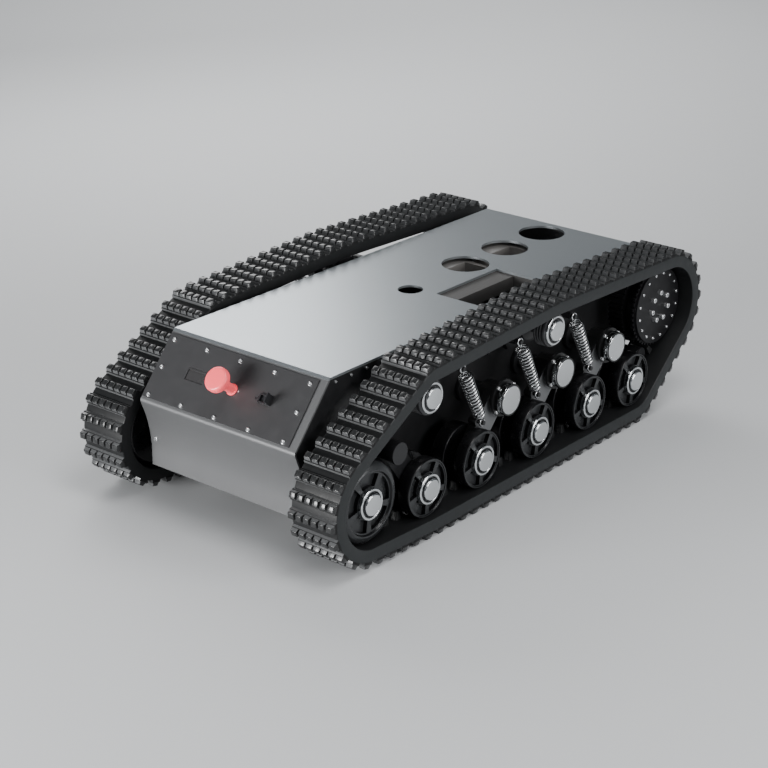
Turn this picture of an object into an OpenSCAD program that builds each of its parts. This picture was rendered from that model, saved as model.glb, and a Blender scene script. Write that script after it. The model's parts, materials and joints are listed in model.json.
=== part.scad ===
// Tracked robot chassis: a sheet-metal hull between two rubber tracks, with sprung road wheels.
// X points forward, Y to the left and Z up. The origin is on the ground, in the middle of the
// overall box. Running gear is drawn for the left side and mirrored for the right side.

/* [Hull] */
// Width of the hull over its side walls
hull_w = 314; // [310:1:318]
// Height of the deck's top face above the ground
deck_z = 265; // [263:1:267]
// X of the deck's front edge
deck_front_x = 370; // [366:1:374]
// X of the deck's rear edge
deck_rear_x = -419; // [-421:1:-417]
// Thickness of the deck plate
deck_t = 4; // [3:0.5:5]
// Thickness of the hull's walls and floor
wall_t = 3; // [2:0.5:4]
// Height of the hull's underside above the ground
floor_z = 58; // [56:1:60]
// Lean of the upper nose panel from the vertical, in degrees
nose_lean = 40; // [39:0.5:41]
// Length of the upper nose panel, from the deck down to the fold
nose_len = 121.5; // [120:0.5:123]
// Thickness of the bolted front cover
cover_t = 2.5; // [2:0.5:3]

/* [Deck openings] */
// Diameter of the three large round openings
hatch_d = 80; // [76:1:84]
// Diameter of the small cable opening
cable_d = 41; // [38:1:44]
// Length of the rectangular well
well_len = 160; // [150:1:170]
// Width of the rectangular well
well_w = 88; // [80:1:90]
// Depth of the well's walls below the deck
well_depth = 24; // [18:1:30]
// Width of the ledge along the well's inner side
ledge_w = 34; // [24:1:40]

/* [Tracks] */
// Y of the middle of a track
track_y = 216; // [215:0.5:217]
// Width of a track belt
belt_w = 85; // [83:1:86]
// Thickness of the belt without its lugs
belt_t = 20; // [19:0.5:20]
// Height of a lug's full-width base bar
bar_h = 4; // [3:0.5:4]
// Height of the blocks on top of the bar
block_h = 6; // [5:0.5:6]
// Number of blocks across a lug
block_count = 6; // [4:1:7]
// Width of the grooves between the blocks
groove_w = 3.6; // [3:0.1:4.5]
// Height of the guide teeth inside the belt
guide_h = 14; // [12:1:14]
// Width of the guide teeth
guide_w = 12; // [10:1:12]
// Spacing of the lugs along the belt's outer face
lug_pitch = 28; // [27:0.1:29]

/* [Running gear] */
// Radius of the road wheels
wheel_r = 46; // [45:0.5:46]
// Radius of the front idler
idler_r = 65; // [64:0.5:65]
// Radius of the return rollers
roller_r = 28; // [27:0.5:28]
// Outer radius of the sprocket's fluted drum
sprocket_r = 70; // [69:0.5:70]
// Number of flutes along the sprocket's drum
flute_count = 48; // [48:16:64]

/* [Hidden] */
$fn = 64;

// Clearances
belt_gap = 0.3;
run_gap = 0.05;
skin = 0.2;

// Running gear places as [x, z]
belt_rise = belt_t + bar_h + block_h;
wheel_z = belt_rise + wheel_r + belt_gap;
wheel_x = [253, 121, -23, -168, -295];
idler_at = [386, 101];
roller_front_at = [249.5, 221];
roller_mid_at = [-57, 235.5];
sprocket_at = [-380, 182];
lead_pivot_step = [55, 73];
trail_pivot_step = [-68, 77];
rear_pivot_step = [-55, 24];
ear_step = [49, -26];
ear_root = [20, -18];
hanger_step = [100, 78];
spring_arms = [2, 3, 4];

// Y bands of the running gear, for the left side
wall_y = hull_w / 2;
belt_in_y = track_y - belt_w / 2;
belt_out_y = track_y + belt_w / 2;
gap_half = guide_w / 2 + 4;
rim_in_y = belt_in_y + 7;
disc_out_y = belt_out_y - 12.5;
web_y = disc_out_y - 1.5;
window_depth = 6.5;
window_half = 29;
axle_end_y = disc_out_y - 6;
cap_ring_y = belt_out_y - 9;
cap_face_y = belt_out_y - 4;
arm_t = 14;
arm_y0 = track_y - arm_t / 2;
arm_y1 = track_y + arm_t / 2;
boss_in_y = 200;
boss_end_y = 238;
pivot_flange_y = [229, 234];
spring_y = 230;

// Radii
hub_r = 12;
cap_r = 23.5;
cap_dome_r = 16.5;
pivot_r = 11;
pivot_cap_r = 25;
pivot_flange_r = 29.5;
arm_eye_r = 19;
arm_boss_r = 22;
lead_boss_r = 17;
lead_shaft_r = 8;
rear_boss_r = 12;
rear_shaft_r = 6;
ear_r = 8;
pin_r = 3.5;
roller_axle_r = 7;
idler_axle_r = 9;
motor_shaft_r = 8;
sprocket_disc_r = 65;

// ---------------------------------------------------------------- plain functions

function unit(v) = v / norm(v);
function sum_to(list, n) = n <= 0 ? 0 : list[n - 1] + sum_to(list, n - 1);

function reversed(list) = [for (k = [len(list) - 1:-1:0]) list[k]];

// Points of an arc about c, from angle a0 to a1
function arc(c, r, a0, a1, steps) =
    [for (k = [0:steps]) c + r * [cos(a0 + (a1 - a0) * k / steps), sin(a0 + (a1 - a0) * k / steps)]];

// Outline of a corner at b between a and c, rounded to radius r
function corner(a, b, c, r, steps = 8) =
    let (u = unit(a - b), w = unit(c - b), half = acos(u * w) / 2,
         m = b + unit(u + w) * r / sin(half), p = b + u * r / tan(half), q = b + w * r / tan(half),
         a0 = atan2(p.y - m.y, p.x - m.x), turn = atan2(q.y - m.y, q.x - m.x) - a0)
    arc(m, r, a0, a0 + ((turn + 540) % 360) - 180, steps);

// A sector of a ring, as a polygon
function ring_sector(r0, r1, a0, a1) =
    concat(arc([0, 0], r1, a0, a1, 8), arc([0, 0], r0, a1, a0, 4));

// ---------------------------------------------------------------- the belt's path

// The inner face of the belt wraps these circles, as [x, z, radius], counter-clockwise
wrap = [
    [idler_at.x, idler_at.y, idler_r + belt_gap],
    [roller_front_at.x, roller_front_at.y, roller_r + belt_gap],
    [roller_mid_at.x, roller_mid_at.y, roller_r + belt_gap],
    [sprocket_at.x, sprocket_at.y, sprocket_r + 1],
    [wheel_x[4], wheel_z, wheel_r + belt_gap],
    [wheel_x[0], wheel_z, wheel_r + belt_gap]];
wraps = len(wrap);
guide_pitch = 28;

function wrap_step(i) =
    let (a = wrap[i], b = wrap[(i + 1) % wraps]) [b.x - a.x, b.y - a.y, a.z - b.z];
leave_angle = [for (i = [0:wraps - 1])
    let (d = wrap_step(i)) atan2(d.y, d.x) - acos(d.z / norm([d.x, d.y]))];
reach_angle = [for (i = [0:wraps - 1]) leave_angle[(i + wraps - 1) % wraps]];
wrap_turn = [for (i = [0:wraps - 1]) (leave_angle[i] - reach_angle[i] + 720) % 360];
arc_len = [for (i = [0:wraps - 1]) wrap[i].z * wrap_turn[i] * PI / 180];
line_len = [for (i = [0:wraps - 1]) let (d = wrap_step(i)) sqrt(d.x * d.x + d.y * d.y - d.z * d.z)];

// Lengths of the belt's loop at a height above its inner face
function stage_len(out) =
    [for (i = [0:wraps - 1]) arc_len[i] + line_len[i] + out * wrap_turn[i] * PI / 180];
function loop_len(out) = sum_to(stage_len(out), wraps);

// Place at length s along the loop at height out, as [x, z, angle of the outward normal]
function on_belt(s, out, i = 0) =
    let (here = stage_len(out)[i])
    s >= here && i < wraps - 1 ? on_belt(s - here, out, i + 1) :
    let (r = wrap[i].z + out, along_arc = min(s, here - line_len[i]), run = s - along_arc,
         a = reach_angle[i] + along_arc / r * 180 / PI)
    [wrap[i].x + r * cos(a) - run * sin(a), wrap[i].y + r * sin(a) + run * cos(a), a];

// Evenly spaced places around the loop at height out
function spaced(count, out) = [for (k = [0:count - 1]) on_belt((k + 0.5) * loop_len(out) / count, out)];

lugs = spaced(round(loop_len(belt_t) / lug_pitch), belt_t);
guides = spaced(round(loop_len(0) / guide_pitch), 0);

// A point beside a lug's or tooth's place: along the belt, and outward
function lug_point(g, along, out) =
    [g.x + out * cos(g[2]) - along * sin(g[2]), g.y + out * sin(g[2]) + along * cos(g[2])];

// The smooth loop at a height above the belt's inner face
function belt_loop(out) =
    [for (i = [0:wraps - 1]) each arc([wrap[i].x, wrap[i].y], wrap[i].z + out, reach_angle[i],
                                      reach_angle[i] + wrap_turn[i], ceil(wrap_turn[i] / 7) + 1)];

// Sections of a lug and of a guide tooth: X along the belt and Y outward from the belt's face
root = 0.5;
bar_half = 9;
block_half = 6.8;
block_slope = 2;
guide_half = 6;
block_top = bar_h + block_h;
lug_section = [
    [-bar_half, -root], [-bar_half, 0], [1 - bar_half, bar_h], [-block_half, bar_h],
    [block_slope - block_half, block_top], [block_half - block_slope, block_top],
    [block_half, bar_h], [bar_half - 1, bar_h], [bar_half, 0], [bar_half, -root]];
groove_section = [
    [-bar_half, bar_h + skin], [bar_half, bar_h + skin],
    [bar_half, block_top + 1], [-bar_half, block_top + 1]];
guide_section = [
    [-guide_half, root], [-guide_half, 0], [2 - guide_half, -guide_h],
    [guide_half - 2, -guide_h], [guide_half, 0], [guide_half, root]];
function placed(g, section) = [for (p = section) lug_point(g, p.x, p.y)];

// ---------------------------------------------------------------- helpers

// Draws for the left side, or mirrored for the right side
module on_side(side) {
    mirror([0, side == "left" ? 0 : 1, 0]) children();
}

// Turns an XZ outline into a slab between two Y values
module slab(y0, y1) {
    translate([0, y1, 0]) rotate([90, 0, 0]) linear_extrude(y1 - y0) children();
}

// A disc or shaft along Y about [x, z], between two Y values
module disc(at, r, y0, y1) {
    translate([at.x, y0, at.y]) rotate([-90, 0, 0]) cylinder(h = y1 - y0, r = r);
}

// A turned shape about the Y axis at [x, z], from an outline of [radius, y] points
module turned(at, outline) {
    translate([at.x, 0, at.y]) rotate([-90, 0, 0]) rotate_extrude() polygon(outline);
}

// Five window openings, cut along Y through a disc at [x, z]
module windows(at, r0, r1, y0, y1) {
    for (i = [0:4])
        translate([at.x, y1, at.y]) rotate([90, 0, 0])
            linear_extrude(y1 - y0)
                polygon(ring_sector(r0, r1, 90 + 72 * i - window_half, 90 + 72 * i + window_half));
}

// The nose panel's own frame: X down the panel, Y across it and Z out of it
module on_panel() {
    translate([deck_front_x, 0, deck_z]) rotate([0, 90 - nose_lean, 0]) children();
}

// ---------------------------------------------------------------- hull

fold = [deck_front_x + nose_len * sin(nose_lean), deck_z - nose_len * cos(nose_lean)];
chin_step = [-20.5, -52];
chin = fold + chin_step;
keel = [chin.x, floor_z];
rear_break = [deck_rear_x, 112];
rear_foot = [deck_rear_x + 34, floor_z];
fold_r = 8;
chin_r = 200;

// Outward normals of the upper panel, of the face under the fold and of the foot of the nose
panel_out = [cos(nose_lean), sin(nose_lean)];
chin_out = unit([-chin_step.y, chin_step.x]);
foot_out = [1, 0];

// Step from a sheet's outer corner to the matching corner one unit below its face
function miter(n1, n2) = -(n1 + n2) / (1 + n1 * n2);

// The nose's outline at a depth below its outer face, from a height near the deck down to the keel
function nose_line(depth, top_z = deck_z) =
    let (top = [deck_front_x - depth / panel_out.x + (deck_z - top_z) * tan(nose_lean), top_z],
         f = fold + depth * miter(panel_out, chin_out),
         c = chin + depth * miter(chin_out, foot_out), low = keel - [depth, 0])
    concat([top], corner(top, f, c, fold_r - depth / 2), corner(f, c, low, chin_r - depth, 12), [low]);

// Outline of a side wall, just inside the rear panel and the nose
nose_depth = cover_t + wall_t + run_gap;
tub_outline = concat(
    [[deck_rear_x + wall_t + run_gap, deck_z - deck_t], rear_break + [wall_t + run_gap, 1],
     rear_foot + [1 + run_gap, wall_t], rear_foot + [1 + run_gap, 0]],
    reversed(nose_line(nose_depth, deck_z - deck_t)));

// Folded sheet tub: two side walls with the floor between them, open in front, behind and on top
module hull_tub() {
    color("dimgray")
        difference() {
            union() {
                for (side = ["left", "right"])
                    on_side(side) slab(wall_y - wall_t, wall_y) polygon(tub_outline);
                translate([rear_foot.x + 1 + run_gap, -wall_y, floor_z])
                    cube([keel.x - nose_depth - rear_foot.x - 1 - run_gap, hull_w, wall_t]);
            }
            for (side = ["left", "right"])
                on_side(side) disc(sprocket_at, motor_shaft_r + 4, wall_y - 2 * wall_t, wall_y + 1);
        }
}

hatch_x = [-151, -260, -367];
cable_at = [4.5, 9];
well_at = [-85, 54 + well_w / 2];

// Deck plate with the round openings and the rectangular well opening
module deck_plate() {
    color("silver")
        difference() {
            translate([deck_rear_x, -wall_y, deck_z - deck_t])
                cube([deck_front_x - deck_rear_x, hull_w, deck_t]);
            for (x = hatch_x)
                translate([x, 0, deck_z - 2 * deck_t]) cylinder(h = 3 * deck_t, d = hatch_d);
            translate([cable_at.x, cable_at.y, deck_z - 2 * deck_t]) cylinder(h = 3 * deck_t, d = cable_d);
            translate([well_at.x - well_len / 2, well_at.y - well_w / 2, deck_z - 2 * deck_t])
                cube([well_len, well_w, 3 * deck_t]);
            on_panel() translate([-20, -wall_y - 5, -cover_t]) cube([60, hull_w + 10, 30]);
        }
}

// Bent sheet nose: upper panel, fold and rounded chin down to the floor
module nose_plate() {
    color("gray")
        difference() {
            slab(-wall_y, wall_y)
                polygon(concat(nose_line(cover_t), reversed(nose_line(cover_t + wall_t))));
            translate([deck_front_x - 60, -wall_y - 1, deck_z - deck_t]) cube([80, hull_w + 2, 20]);
            on_panel() translate([estop_at.x, estop_at.y, -20]) cylinder(h = 40, r = estop_hole_r);
            for (y = chin_screw_y)
                translate([chin_screw_x, y, chin_screw_z]) rotate([0, 90, 0])
                    cylinder(h = 9, r = screw_head_r + skin);
        }
}

cover_y = [-155, 143];
cover_x = [7, 113];
screw_rows = [16.5, 62, 108.5];
screw_y0 = -143;
screw_step = 68.5;
screw_places = concat(
    [for (i = [0:4]) [screw_rows[0], screw_y0 + screw_step * i]],
    [[screw_rows[1], screw_y0], [screw_rows[1], screw_y0 + 4 * screw_step]],
    [for (i = [0:4]) [screw_rows[2], screw_y0 + screw_step * i]]);
screw_r = 2;
screw_head_r = 3.2;
screw_head_h = 2.4;
chin_screw_x = keel.x - cover_t - 1.6;
chin_screw_y = [-145, 145];
chin_screw_z = 104;
estop_hole_r = 8;
display_at = [58.5, -73.5];
display_size = [20, 37];
display_lip = 3;
estop_at = [60.5, 3];
port_at = [58.5, 66];
port_size = [15, 20];
socket_size = [10, 14];
socket_depth = cover_t + 2;
pin_hole_at = port_at + [1, -15];
pin_hole_r = 1.8;

// Front cover, screwed over the upper nose panel
module front_cover() {
    color([0.2, 0.2, 0.21])
        on_panel() difference() {
            translate([cover_x[0], cover_y[0], run_gap - cover_t])
                cube([cover_x[1] - cover_x[0], cover_y[1] - cover_y[0], cover_t - run_gap]);
            for (p = screw_places)
                translate([p.x, p.y, -2 * cover_t]) cylinder(h = 3 * cover_t, r = screw_r + 0.1);
            translate([estop_at.x, estop_at.y, -2 * cover_t]) cylinder(h = 3 * cover_t, r = estop_hole_r);
            translate([display_at.x - display_size.x / 2, display_at.y - display_size.y / 2, -2 * cover_t])
                cube([display_size.x, display_size.y, 3 * cover_t]);
            translate([port_at.x - port_size.x / 2, port_at.y - port_size.y / 2, -2 * cover_t])
                cube([port_size.x, port_size.y, 3 * cover_t]);
            translate([pin_hole_at.x, pin_hole_at.y, -2 * cover_t])
                cylinder(h = 3 * cover_t, r = pin_hole_r);
        }
}

// Flat window of the charge display, set below the cover's face, with a lip along its upper edge
module display_window() {
    low = display_at - display_size / 2 + [skin, skin];
    color([0.12, 0.13, 0.15])
        on_panel() translate([low.x, low.y, -cover_t]) union() {
            cube([display_size.x - 2 * skin, display_size.y - 2 * skin, 1]);
            cube([display_lip, display_size.y - 2 * skin, cover_t]);
        }
}

// Socket frame of the charging port
module charge_port() {
    color([0.16, 0.16, 0.17])
        on_panel() difference() {
            translate([port_at.x - port_size.x / 2 + skin, port_at.y - port_size.y / 2 + skin, -cover_t])
                cube([port_size.x - 2 * skin, port_size.y - 2 * skin, cover_t + 3]);
            translate([port_at.x - socket_size.x / 2, port_at.y - socket_size.y / 2, 3 - socket_depth])
                cube([socket_size.x, socket_size.y, socket_depth + 1]);
        }
}

flap_pin_r = 1.4;
flap_pin = [port_at.y + port_size.y / 2 + 1.6, 1.6];
flap_len = port_size.y + 3.1;
flap_gap = 1.6;
flap_t = 1.6;
flap_open = 105;

// Hinged dust flap of the charging port, standing open on its pin
module port_flap() {
    color([0.1, 0.1, 0.11])
        on_panel() translate([port_at.x - port_size.x / 2, flap_pin.x, flap_pin.y])
            rotate([-flap_open, 0, 0]) union() {
                translate([0, -flap_len, flap_gap]) cube([port_size.x, flap_len, flap_t]);
                rotate([0, 90, 0]) cylinder(h = port_size.x, r = flap_pin_r);
                translate([0, -0.6, 0]) cube([port_size.x, 1.2, flap_gap + flap_t]);
            }
}

estop_collar_h = 2;
estop_collar_r = 9.2;
estop_stem_r = 6;
estop_head_r = 20;
estop_head_z = 32;
estop_edge_r = 3;

// Threaded collar of the emergency stop
module estop_collar() {
    color("firebrick")
        on_panel() translate([estop_at.x, estop_at.y, 0])
            difference() {
                union() {
                    cylinder(h = estop_collar_h, r = estop_collar_r);
                    translate([0, 0, -12]) cylinder(h = 13, r = estop_hole_r - skin);
                }
                translate([0, 0, -13]) cylinder(h = 30, r = estop_stem_r + run_gap);
            }
}

// Mushroom button of the emergency stop, which slides in its collar
module estop_button() {
    edge = [estop_head_r - estop_edge_r, estop_head_z + 11];
    color("red")
        on_panel() translate([estop_at.x, estop_at.y, 0]) rotate_extrude() polygon(concat(
            [[0, -6], [estop_stem_r, -6], [estop_stem_r, estop_head_z - 8],
             [estop_stem_r + 4, estop_head_z - 4], [edge.x, estop_head_z],
             [estop_head_r, estop_head_z + 3]],
            [for (k = [0:6]) edge + estop_edge_r * [cos(k * 15), sin(k * 15)]],
            [[0, edge.y + estop_edge_r + 1]]));
}

// Pan-head screws of the front cover, and two on the chin
module cover_screws() {
    color("gainsboro")
        on_panel() for (p = screw_places) translate([p.x, p.y, 0]) {
            translate([0, 0, skin - cover_t]) cylinder(h = cover_t, r = screw_r);
            cylinder(h = screw_head_h, r = screw_head_r);
        }
    color("gainsboro")
        for (y = chin_screw_y)
            translate([chin_screw_x, y, chin_screw_z]) rotate([0, 90, 0])
                cylinder(h = screw_head_h + 1, r = screw_head_r);
}

rivet_pitch = 34.3;
rivet_x0 = 356;
rivet_drop = 9.5;
rivet_r = 2.2;

// Rivets along the top of both side walls
module wall_rivets() {
    color("silver")
        for (side = ["left", "right"], k = [0:21])
            on_side(side)
                disc([rivet_x0 - rivet_pitch * k, deck_z - rivet_drop], rivet_r, wall_y, wall_y + 1.6);
}

rear_hole_y = [-60, 60];
rear_hole_z = 170;
rear_hole_r = 12;

// Rear panel with its slanted foot and two cable holes
module rear_plate() {
    color("gray")
        difference() {
            slab(-wall_y, wall_y) polygon([
                [deck_rear_x, deck_z - deck_t], rear_break, rear_foot, rear_foot + [1, 0],
                rear_foot + [1, wall_t], rear_break + [wall_t, 1], [deck_rear_x + wall_t, deck_z - deck_t]]);
            for (y = rear_hole_y)
                translate([deck_rear_x - 1, y, rear_hole_z]) rotate([0, 90, 0])
                    cylinder(h = 3 * wall_t, r = rear_hole_r);
        }
}

ledge_drop = 1.6;
sheet_t = 2;

// Open-bottomed sheet frame around the well, hanging from the deck, with a ledge along its inner side
module access_well() {
    ledge_z = well_depth - ledge_drop;
    color("darkgray")
        translate([well_at.x - well_len / 2, well_at.y - well_w / 2, deck_z - deck_t - well_depth])
            difference() {
                translate([-sheet_t, -sheet_t, 0])
                    cube([well_len + 2 * sheet_t, well_w + 2 * sheet_t, well_depth]);
                translate([0, ledge_w, -1]) cube([well_len, well_w - ledge_w, well_depth + 2]);
                translate([0, 0, ledge_z]) cube([well_len, well_w, well_depth]);
                translate([0, 0, -1]) cube([well_len, ledge_w - sheet_t, ledge_z - sheet_t + 1]);
            }
}

// ---------------------------------------------------------------- inside the hull

bay_x = [-338, -105];
bay_y = [-70, 50];
battery_h = 88;
box_top_z = 255;
tray_depth = 30;
// Bays of the box under the front and middle openings, as [x0, x1, y0]
bays = [[-181, bay_x[1] + 4, -24], [-296, -190, -16]];

// Battery pack on the floor of the hull
module battery_pack() {
    color("darkslateblue")
        translate([bay_x[0] + 3, bay_y[0] + 3, floor_z + wall_t])
            cube([bay_x[1] - bay_x[0] - 6, bay_y[1] - bay_y[0] - 6, battery_h]);
}

// Folded control box on the battery pack, with open bays below two deck openings
module control_box() {
    low = floor_z + wall_t + battery_h;
    color("lightgray")
        difference() {
            translate([bay_x[0], bay_y[0], low])
                cube([bay_x[1] - bay_x[0], bay_y[1] - bay_y[0], box_top_z - low]);
            translate([bay_x[0] + wall_t, bay_y[0] + wall_t, low - 1])
                cube([bay_x[1] - bay_x[0] - 2 * wall_t, bay_y[1] - bay_y[0] - 2 * wall_t,
                      box_top_z - low - tray_depth - wall_t + 1]);
            for (b = bays)
                translate([b.x, b.z, box_top_z - tray_depth])
                    cube([b.y - b.x, bay_y[1] - wall_t - b.z, tray_depth + 1]);
        }
}

driver_at = [230, -70];
driver_size = [130, 140, 24];
fin_count = 9;
fin_pitch = 14;
fin_inset = 6;
fin_size = [4, 20];

// Motor driver with its heat-sink fins
module motor_driver() {
    top_z = floor_z + wall_t + driver_size.z;
    color("darkgreen")
        union() {
            translate([driver_at.x, driver_at.y, floor_z + wall_t]) cube(driver_size);
            for (k = [0:fin_count - 1])
                translate([driver_at.x + fin_inset + fin_pitch * k, driver_at.y + fin_inset, top_z - 1])
                    cube([fin_size.x, driver_size.y - 2 * fin_inset, fin_size.y + 1]);
        }
}

motor_flange_r = 34;
motor_flange_y = wall_y - wall_t - 8;
gearbox_r = 31;
gearbox_y = 92;
motor_r = 28;
motor_y = 22;
motor_cap_r = 20;
motor_cap_y = 12;

// Gear motor: flange on the side wall, gearbox, motor and end cap
module gear_motor(side) {
    color("slategray")
        on_side(side) union() {
            disc(sprocket_at, motor_flange_r, motor_flange_y, wall_y - wall_t);
            disc(sprocket_at, gearbox_r, gearbox_y, motor_flange_y);
            disc(sprocket_at, motor_r, motor_y, gearbox_y);
            disc(sprocket_at, motor_cap_r, motor_cap_y, motor_y);
        }
}

// ---------------------------------------------------------------- tracks

// Endless rubber belt, without its lugs and guide teeth
module track_belt(side) {
    color([0.17, 0.17, 0.18])
        on_side(side) slab(belt_in_y, belt_out_y) difference() {
            polygon(belt_loop(belt_t));
            polygon(belt_loop(0));
        }
}

// One lug: a full-width bar with a row of blocks on it
module lug(g) {
    difference() {
        slab(belt_in_y, belt_out_y) polygon(placed(g, lug_section));
        for (k = [1:block_count - 1])
            let (y = belt_in_y + belt_w * k / block_count)
            slab(y - groove_w / 2, y + groove_w / 2) polygon(placed(g, groove_section));
    }
}

// The belt's moulded lugs outside and guide teeth inside
module track_lugs(side) {
    color([0.15, 0.15, 0.16])
        on_side(side) {
            for (g = lugs) lug(g);
            for (g = guides)
                slab(track_y - guide_w / 2, track_y + guide_w / 2) polygon(placed(g, guide_section));
        }
}

// ---------------------------------------------------------------- wheels

// Stepped hub cap, as [radius, y] points from the rim of the cap to its middle
cap_points = [
    [cap_r, cap_ring_y - 3], [cap_r, cap_ring_y], [cap_r - 1.5, cap_ring_y + 1.2],
    [cap_dome_r + 3, cap_ring_y + 1.2], [cap_dome_r + 1.2, cap_ring_y - 1],
    [cap_dome_r, cap_ring_y - 1], [cap_dome_r, cap_face_y - 1.5],
    [cap_dome_r - 1.5, cap_face_y], [0, cap_face_y]];

// Twin road wheel: a spoked outer disc and a plain inner disc on one hub that runs in the arm's eye
module road_wheel(side, i) {
    at = [wheel_x[i - 1], wheel_z];
    color([0.22, 0.23, 0.24])
        on_side(side) difference() {
            turned(at, concat(
                [[0, rim_in_y], [wheel_r - 9, rim_in_y], [wheel_r - 8, rim_in_y + 3],
                 [wheel_r - 2, rim_in_y], [wheel_r, rim_in_y + 2], [wheel_r, track_y - gap_half - 1],
                 [wheel_r - 1, track_y - gap_half], [hub_r, track_y - gap_half],
                 [hub_r, track_y + gap_half], [wheel_r - 1, track_y + gap_half],
                 [wheel_r, track_y + gap_half + 1], [wheel_r, disc_out_y - 2], [wheel_r - 1.2, disc_out_y],
                 [wheel_r - 2.8, disc_out_y], [wheel_r - 3.4, web_y], [cap_r, web_y]],
                cap_points));
            windows(at, cap_r + 2, wheel_r - 5, web_y - window_depth, disc_out_y + 1);
        }
}

// Front idler: broad dished rim, central groove for the guide teeth and a blind axle bore
module idler(side) {
    color([0.25, 0.26, 0.27])
        on_side(side) difference() {
            turned(idler_at, concat(
                [[idler_axle_r + run_gap, rim_in_y], [idler_r - 14, rim_in_y], [idler_r - 8, rim_in_y],
                 [idler_r, rim_in_y + 6], [idler_r, track_y - gap_half],
                 [idler_r - guide_h - 5, track_y - gap_half],
                 [idler_r - guide_h - 5, track_y + gap_half], [idler_r, track_y + gap_half],
                 [idler_r, disc_out_y - 12], [idler_r - 2.5, disc_out_y - 6], [idler_r - 7, disc_out_y - 1],
                 [idler_r - 14, disc_out_y + 2], [idler_r - 16, disc_out_y + 2], [idler_r - 18, web_y],
                 [cap_r, web_y]],
                cap_points, [[0, axle_end_y], [idler_axle_r + run_gap, axle_end_y]]));
            windows(idler_at, cap_r + 2, idler_r - 20, web_y - window_depth, disc_out_y + 3);
        }
}

rib_pitch = 5;

// Shallow groove between two ribs of a return roller, as [radius, y] points from y onward
function rib_groove(y) =
    [[roller_r, y], [roller_r - 1.5, y + 1], [roller_r - 1.5, y + 3], [roller_r, y + 4]];

// Return roller: two ribbed rims with a groove between them for the guide teeth
module return_roller(side, at) {
    color([0.2, 0.2, 0.21])
        on_side(side) turned(at, concat(
            [[roller_axle_r + run_gap, rim_in_y], [roller_r, rim_in_y]],
            [for (k = [0:3]) each rib_groove(rim_in_y + 2 + rib_pitch * k)],
            [[roller_r, track_y - gap_half - 1], [roller_r - guide_h - 2, track_y - gap_half],
             [roller_r - guide_h - 2, track_y + gap_half], [roller_r, track_y + gap_half + 1]],
            [for (k = [0:2]) each rib_groove(track_y + gap_half + 3 + rib_pitch * k)],
            [[roller_r - 1, cap_ring_y - 3]],
            cap_points, [[0, axle_end_y], [roller_axle_r + run_gap, axle_end_y]]));
}

// Outline of the sprocket's drum: points of one flute are [share of the pitch, depth]
flute_section = [[-0.28, 3.5], [-0.2, 0], [0.2, 0], [0.28, 3.5]];
flutes = [for (k = [0:flute_count - 1], p = flute_section)
    let (a = (k + p.x) * 360 / flute_count) (sprocket_r - p.y) * [cos(a), sin(a)]];
sprocket_disc_y = track_y + 13;
sprocket_mid = [track_y - 9, track_y + 9];
sprocket_groove_r = sprocket_r - guide_h - 3;

// Drive sprocket: fluted drum with a groove for the guide teeth, outer disc and output shaft
module sprocket(side) {
    color([0.08, 0.08, 0.09])
        on_side(side) translate([sprocket_at.x, 0, sprocket_at.y]) union() {
            slab(rim_in_y, sprocket_mid[0]) polygon(flutes);
            disc([0, 0], sprocket_groove_r, sprocket_mid[0], sprocket_mid[1]);
            slab(sprocket_mid[1], sprocket_disc_y) polygon(flutes);
            disc([0, 0], sprocket_disc_r, sprocket_disc_y, sprocket_disc_y + 5);
            disc([0, 0], motor_shaft_r, wall_y - wall_t + 0.3, rim_in_y + 2);
        }
}

rim_screw_ring = 56.5;
hub_screw_ring = 24;

// Screws of the sprocket's disc: a ring of small ones and seven cap screws in the middle
module sprocket_screws(side) {
    face_y = sprocket_disc_y + 5;
    color("silver")
        on_side(side) {
            for (k = [0:15])
                let (a = 360 / 16 * (k + 0.5))
                disc(sprocket_at + rim_screw_ring * [cos(a), sin(a)], 2.3, face_y, face_y + 1.8);
            for (k = [0:6])
                let (a = 90 + 360 / 7 * k)
                disc(sprocket_at + hub_screw_ring * [cos(a), sin(a)], 4.4, face_y, face_y + 7);
        }
}

// ---------------------------------------------------------------- suspension

// Pivot of arm i as [x, z]: arm 1 leads, arms 2 to 4 trail, arm 5 is short and low
function pivot_at(i) = [wheel_x[i - 1], wheel_z]
    + (i == 1 ? lead_pivot_step : i == 5 ? rear_pivot_step : trail_pivot_step);
function is_sprung(i) = len([for (k = spring_arms) if (k == i) k]) > 0;
function hanger_at(i) = pivot_at(i) + hanger_step;
function ear_at(i) = pivot_at(i) + ear_step;
function boss_r(i) = i == 5 ? rear_boss_r : i == 1 ? lead_boss_r : arm_boss_r;
function shaft_r(i) = i == 5 ? rear_shaft_r : i == 1 ? lead_shaft_r : pivot_r;
function boss_out_y(i) = i == 5 ? arm_y1 + 2 : boss_end_y;

// Outline of a bar around two circles, without its round ends
function link(a, ra, b, rb) =
    let (d = b - a, phi = atan2(d.y, d.x), t = acos((ra - rb) / norm(d)))
    [a + ra * [cos(phi - t), sin(phi - t)], b + rb * [cos(phi - t), sin(phi - t)],
     b + rb * [cos(phi + t), sin(phi + t)], a + ra * [cos(phi + t), sin(phi + t)]];

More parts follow.
